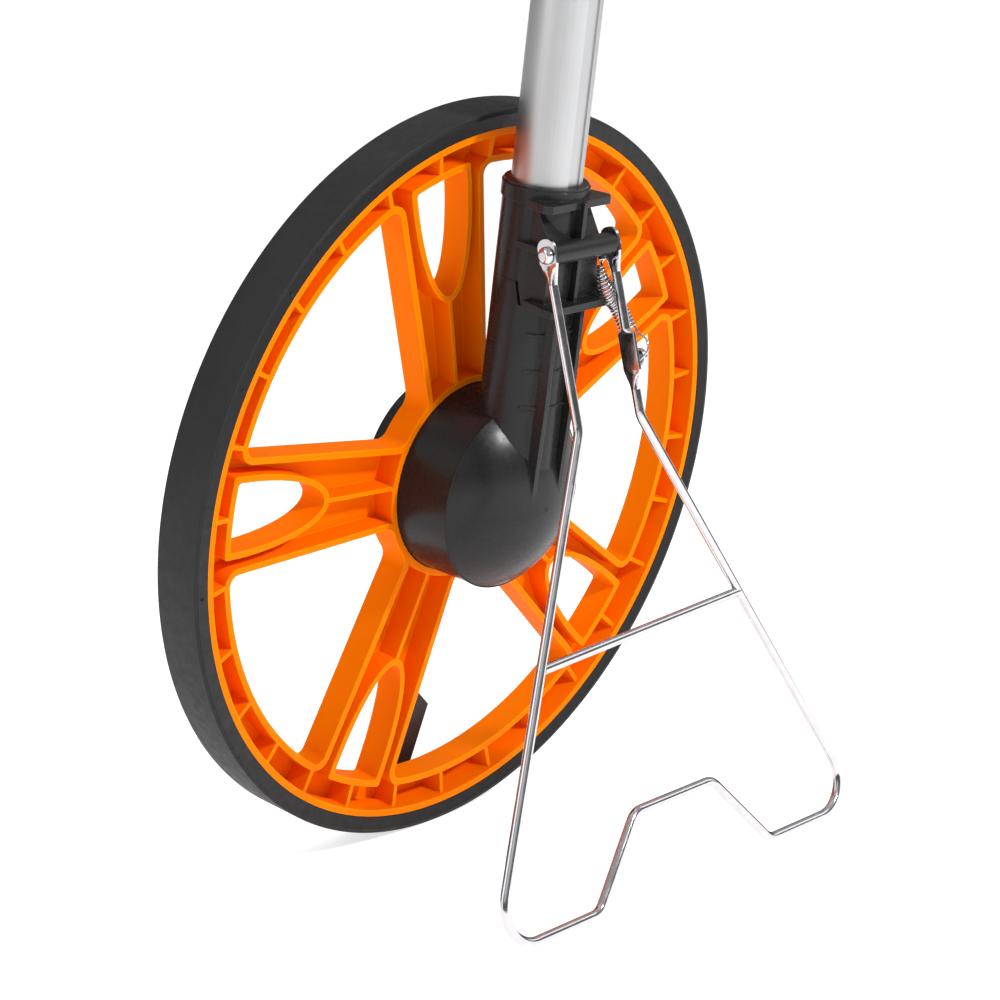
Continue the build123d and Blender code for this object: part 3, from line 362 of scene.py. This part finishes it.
FINISHES = {
    ORANGE: ("wheel_rim", "clamp_lever", "reset_lever"),
    BLACK: ("gear_housing", "tube_bracket", "start_pointer", "clamp_collar", "counter_housing_near",
            "counter_housing_far", "counter_bezel"),
    RUBBER: ("tyre",),
    ALUMINIUM: ("lower_tube", "upper_tube"),
    STEEL: ("axle", "axle_washer", "axle_nut", "gear_screws", "bracket_screws", "lower_drive_shaft",
            "upper_drive_shaft", "clamp_bolt", "clamp_nut", "clamp_pin", "drum_axle", "counter_screws"),
    WIRE: ("stand_wire", "stand_crossbar", "spring_rivet", "hinge_pin", "stand_spring"),
    ACETAL: ("wheel_bush_near", "wheel_bush_far", "drive_gear", "drive_pinion", "shaft_bush", "slide_bush",
             "upper_shaft_bush", "counter_pinion", "counter_gear"),
    GRIP: ("grip_sleeve",),
    DRUM_BLACK: tuple(f"digit_drum_{number}" for number in range(2, DRUMS + 1)),
    DRUM_RED: ("digit_drum_1",),
    LENS: ("counter_lens",),
}
for material, names in FINISHES.items():
    for name in names:
        nodes[name].data.materials.clear()
        nodes[name].data.materials.append(material)


# ---------------------------------------------------------------- mesh helpers

def finished(bm, name):
    """A new mesh made from a bmesh, which isn't used again."""
    mesh = bpy.data.meshes.new(name)
    bm.to_mesh(mesh)
    bm.free()
    return mesh


def mesh_object(name, mesh, material, body, smooth=True):
    """A new piece drawn in the tool's frame in millimetres, put in place and set to ride on a body."""
    mesh.transform(TOOL_MM)
    mesh.materials.append(material)
    if smooth:
        mesh.shade_smooth()
    piece = bpy.data.objects.new(name, mesh)
    bpy.context.collection.objects.link(piece)
    if body:
        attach(piece, body)
    return piece


def tube_along(points, radius, sides=10):
    """A closed round tube that follows a list of points."""
    bm = bmesh.new()
    rings = []
    side = Vector((0, 0, 1))
    for index, point in enumerate(points):
        ahead = points[min(index + 1, len(points) - 1)] - points[max(index - 1, 0)]
        ahead.normalize()
        side = (side - ahead * side.dot(ahead)).normalized()
        other = ahead.cross(side)
        ring = []
        for step in range(sides):
            turn = 2 * math.pi * step / sides
            ring.append(bm.verts.new(point + radius * (math.cos(turn) * side + math.sin(turn) * other)))
        rings.append(ring)
    for first, second in zip(rings, rings[1:]):
        for step in range(sides):
            following = (step + 1) % sides
            bm.faces.new((first[step], first[following], second[following], second[step]))
    bm.faces.new(list(reversed(rings[0])))
    bm.faces.new(rings[-1])
    return finished(bm, "tube")


# ---------------------------------------------------------------- tyre

def tyre_profile():
    """The tyre's section, as radius and place along the axle, with a mould line on the near face."""
    half, corner, line = TYRE_HALF_WIDTH, TYRE_SHOULDER, MOULD_LINE
    section = [(TYRE_SEAT, -half + SEAT_CHAMFER), (TYRE_SEAT + SEAT_CHAMFER, -half)]
    section += [(MOULD_LINE_RADIUS - line, -half), (MOULD_LINE_RADIUS, -half - line),
                (MOULD_LINE_RADIUS + line, -half)]
    for side in (-1, 1):
        shoulder = []
        for step in range(SHOULDER_STEPS + 1):
            turn = math.pi / 2 * step / SHOULDER_STEPS
            out = TYRE_RADIUS - corner + corner * math.sin(turn)
            shoulder.append((out, side * (half - corner + corner * math.cos(turn))))
        section += shoulder if side < 0 else list(reversed(shoulder))
    return section + [(TYRE_SEAT + SEAT_CHAMFER, half), (TYRE_SEAT, half - SEAT_CHAMFER)]


def pips():
    """Small moulding pips on the tyre's near face."""
    bm = bmesh.new()
    for angle in PIP_ANGLES:
        turn = math.radians(angle)
        place = Vector((PIP_CIRCLE * math.sin(turn), -TYRE_HALF_WIDTH, PIP_CIRCLE * math.cos(turn)))
        lift = Matrix.Translation(place) @ Matrix.Rotation(math.pi / 2, 4, "X")
        bmesh.ops.create_cone(bm, cap_ends=True, segments=20, radius1=PIP_FOOT, radius2=PIP_TOP,
                              depth=PIP_HEIGHT, matrix=lift)
    mesh_object("tyre_pips", finished(bm, "tyre_pips"), RUBBER, "wheel", smooth=False)


def tyre():
    """The tyre's section turned once round the axle."""
    section = tyre_profile()
    bm = bmesh.new()
    rings = []
    for step in range(TYRE_STEPS):
        turn = 2 * math.pi * step / TYRE_STEPS
        rings.append([bm.verts.new((radius * math.sin(turn), y, radius * math.cos(turn)))
                      for radius, y in section])
    count = len(section)
    for step in range(TYRE_STEPS):
        first, second = rings[step], rings[(step + 1) % TYRE_STEPS]
        for index in range(count):
            following = (index + 1) % count
            bm.faces.new((first[index], second[index], second[following], first[following]))
    bmesh.ops.recalc_face_normals(bm, faces=bm.faces)
    piece = mesh_object("tyre_band", finished(bm, "tyre_band"), RUBBER, "wheel")
    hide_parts("tyre")


tyre()
pips()


# ---------------------------------------------------------------- housing's raised lines

def arc(middle, radius, start, end, flat):
    """Points round part of a circle: a flat one lies square to the tube, others square to the axle."""
    points = []
    for step in range(ARC_STEPS + 1):
        turn = math.radians(start + (end - start) * step / ARC_STEPS)
        across, along = radius * math.sin(turn), radius * math.cos(turn)
        points.append(middle + (Vector((across, -along, 0)) if flat else Vector((across, 0, along))))
    return points


def raised_lines():
    """Thin moulded beads on the housing: one round the bell's crease, and three on each ridge."""
    lines = [arc(Vector((0, CREASE_Y, 0)), CREASE_RADIUS, CREASE_START, CREASE_END, flat=False)]
    for height in RIDGE_HEIGHTS:
        for start, end in RIDGE_SPANS:
            lines.append(arc(Vector((0, ARM_Y, height)), RIDGE_RADIUS, start, end, flat=True))
    for number, line in enumerate(lines, start=1):
        bead = tube_along(line, BEAD, sides=8)
        mesh_object(f"raised_line_{number}", bead, BLACK, "frame")


raised_lines()


# ---------------------------------------------------------------- stand spring

def through(points, steps):
    """Points along a smooth curve that passes through the given ones."""
    ends = [2 * points[0] - points[1]] + list(points) + [2 * points[-1] - points[-2]]
    curve = []
    for before, start, end, after in zip(ends, ends[1:], ends[2:], ends[3:]):
        leave, arrive = (end - before) / 2, (after - start) / 2
        for step in range(steps):
            t = step / steps
            curve.append(start * (2 * t ** 3 - 3 * t ** 2 + 1) + leave * (t ** 3 - 2 * t ** 2 + t) +
                         end * (3 * t ** 2 - 2 * t ** 3) + arrive * (t ** 3 - t ** 2))
    return curve + [points[-1]]


def evenly(points, count):
    """The same line with the given number of equal steps."""
    lengths = [0.0]
    for first, second in zip(points, points[1:]):
        lengths.append(lengths[-1] + (second - first).length)
    line, piece = [], 0
    for step in range(count + 1):
        target = lengths[-1] * step / count
        while piece < len(points) - 2 and lengths[piece + 1] < target:
            piece += 1
        span = lengths[piece + 1] - lengths[piece]
        line.append(points[piece].lerp(points[piece + 1], (target - lengths[piece]) / span))
    return line


def spring():
    """The coil from its post under the boss to the stud on the right leg, with a hook at each end."""
    route = evenly(through(SPRING_ROUTE, 30), SPRING_TURNS * SPRING_TURN_STEPS)
    points = []
    side = Vector((1, 0, 0))
    for step, here in enumerate(route):
        ahead = (route[min(step + 1, len(route) - 1)] - route[max(step - 1, 0)]).normalized()
        side = (side - ahead * side.dot(ahead)).normalized()
        other = ahead.cross(side)
        place = step / (len(route) - 1)
        if place < SPRING_CONE_END:
            coil = SPRING_TIP + (SPRING_CONE - SPRING_TIP) * place / SPRING_CONE_END
        else:
            coil = SPRING_CONE + (SPRING_WIDE - SPRING_CONE) * (place - SPRING_CONE_END)
        turn = 2 * math.pi * step / SPRING_TURN_STEPS
        points.append(here + coil * (math.cos(turn) * side + math.sin(turn) * other))
    top = [SPRING_ROUTE[0] + Vector(point) for point in TOP_HOOK] + [points[0]]
    hook = [points[-1]] + [STUD + Vector(point) for point in STUD_HOOK]
    for angle in GROOVE_ANGLES:
        turn = math.radians(angle)
        hook.append(STUD + STUD_GROOVE * Vector((0, math.cos(turn), math.sin(turn))))
    line = through(top, 6)[:-1] + points[:-1] + through(hook, 8)
    mesh = tube_along(line, SPRING_WIRE, sides=8)
    piece = mesh_object("coil_spring", mesh, WIRE, None)
    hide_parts("stand_spring")
    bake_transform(piece)


spring()


# ---------------------------------------------------------------- digits

def digits():
    """The figures 0 to 9 wrapped round each drum, with 0 facing the window."""
    for drum in range(DRUMS):
        middle = DRUM_START - DRUM_PITCH * drum - DRUM_WIDTH / 2
        whole = bmesh.new()
        for figure in range(10):
            text = bpy.data.curves.new("figure", "FONT")
            text.body = str(figure)
            text.size = FIGURE_SIZE
            text.align_x = "CENTER"
            text.align_y = "CENTER"
            text.extrude = FIGURE_DEPTH
            text.resolution_u = 6
            holder = bpy.data.objects.new("figure", text)
            flat = bpy.data.meshes.new_from_object(holder)
            figure_mesh = bmesh.new()
            figure_mesh.from_mesh(flat)
            bmesh.ops.subdivide_edges(figure_mesh, edges=figure_mesh.edges, cuts=1)
            for vert in figure_mesh.verts:
                turn = math.pi - vert.co.y / DRUM_RADIUS - figure * math.pi / 5
                reach = DRUM_RADIUS + vert.co.z + FIGURE_GAP
                vert.co = Vector((reach * math.cos(turn), middle - vert.co.x,
                                  DRUM_Z + reach * math.sin(turn)))
            figure_mesh.to_mesh(flat)
            figure_mesh.free()
            whole.from_mesh(flat)
            bpy.data.meshes.remove(flat)
            bpy.data.objects.remove(holder)
            bpy.data.curves.remove(text)
        name = f"figures_{drum + 1}"
        mesh_object(name, finished(whole, name), DIGIT_WHITE, f"drum_{drum + 1}", smooth=False)


digits()


# ---------------------------------------------------------------- floor, light and camera

def floor():
    """A plain white floor that reaches past every view's edge."""
    bm = bmesh.new()
    bmesh.ops.create_grid(bm, x_segments=1, y_segments=1, size=FLOOR_HALF)
    mesh = finished(bm, "floor")
    sheet = bpy.data.objects.new("floor", mesh)
    bpy.context.collection.objects.link(sheet)
    material = bpy.data.materials.new("pale_floor")
    material.use_nodes = True
    shader = material.node_tree.nodes["Principled BSDF"]
    shader.inputs["Base Color"].default_value = (0.88, 0.88, 0.88, 1)
    shader.inputs["Roughness"].default_value = 0.9
    shader.inputs["Specular IOR Level"].default_value = 0.1
    shader.inputs["Emission Color"].default_value = (1, 1, 1, 1)
    shader.inputs["Emission Strength"].default_value = FLOOR_GLOW
    mesh.materials.append(material)


def light(name, place, aim, size, watts):
    """A soft box of the given width and height, turned towards its aim."""
    lamp = bpy.data.lights.new(name, "AREA")
    lamp.shape = "RECTANGLE"
    lamp.size, lamp.size_y = size
    lamp.energy = watts
    lamp_object = bpy.data.objects.new(name, lamp)
    lamp_object.location = place
    lamp_object.rotation_euler = (Vector(aim) - Vector(place)).to_track_quat("-Z", "Y").to_euler()
    bpy.context.collection.objects.link(lamp_object)


def sky():
    """A pale room that is dimmer near the horizon than overhead."""
    world = bpy.data.worlds.new("studio")
    world.use_nodes = True
    tree = world.node_tree
    background = tree.nodes["Background"]
    split = tree.nodes.new("ShaderNodeSeparateXYZ")
    ramp = tree.nodes.new("ShaderNodeValToRGB")
    tree.links.new(tree.nodes.new("ShaderNodeTexCoord").outputs["Generated"], split.inputs["Vector"])
    tree.links.new(split.outputs["Z"], ramp.inputs["Fac"])
    tree.links.new(ramp.outputs["Color"], background.inputs["Color"])
    ramp.color_ramp.elements[0].position = HORIZON_HEIGHT
    ramp.color_ramp.elements[0].color = (*HORIZON, 1)
    ramp.color_ramp.elements[1].position = OVERHEAD_HEIGHT
    ramp.color_ramp.elements[1].color = (*OVERHEAD, 1)
    background.inputs["Strength"].default_value = 1.0
    bpy.context.scene.world = world


def studio():
    """One small hard light for the highlights and four wide soft ones round the object."""
    sky()
    light("key", (0.26, -1.3, 1.08), aim=(0, 0.02, 0.18), size=(0.16, 0.16), watts=21)
    light("left", (-1.5, 0.4, 0.8), aim=(0, 0.02, 0.25), size=(0.9, 1.6), watts=6)
    light("right", (1.3, -0.7, 0.9), aim=(0, 0.02, 0.3), size=(0.4, 1.2), watts=2)
    light("front", (-1.3, -1.5, 1.3), aim=(0, 0.02, 0.2), size=(1.4, 1.2), watts=2)
    light("top", (0.1, 0.3, 2.2), aim=(0, 0.02, 0.2), size=(1.6, 1.6), watts=3)


def camera():
    """A camera at the photograph's viewing angle."""
    lens = bpy.data.cameras.new("camera")
    lens.lens = CAMERA_LENS
    lens.sensor_width = CAMERA_SENSOR
    shot = bpy.data.objects.new("camera", lens)
    bpy.context.collection.objects.link(shot)
    turn = TOOL.to_3x3()
    view = (turn @ CAMERA_VIEW).normalized()
    right = view.cross(turn @ CAMERA_UP).normalized()
    up = right.cross(view)
    axes = Matrix((right, up, -view)).transposed()
    shot.matrix_world = Matrix.Translation(TOOL_MM @ CAMERA_PLACE) @ axes.to_4x4()
    bpy.context.scene.camera = shot


floor()
studio()
camera()
bpy.context.scene.view_settings.view_transform = "Standard"
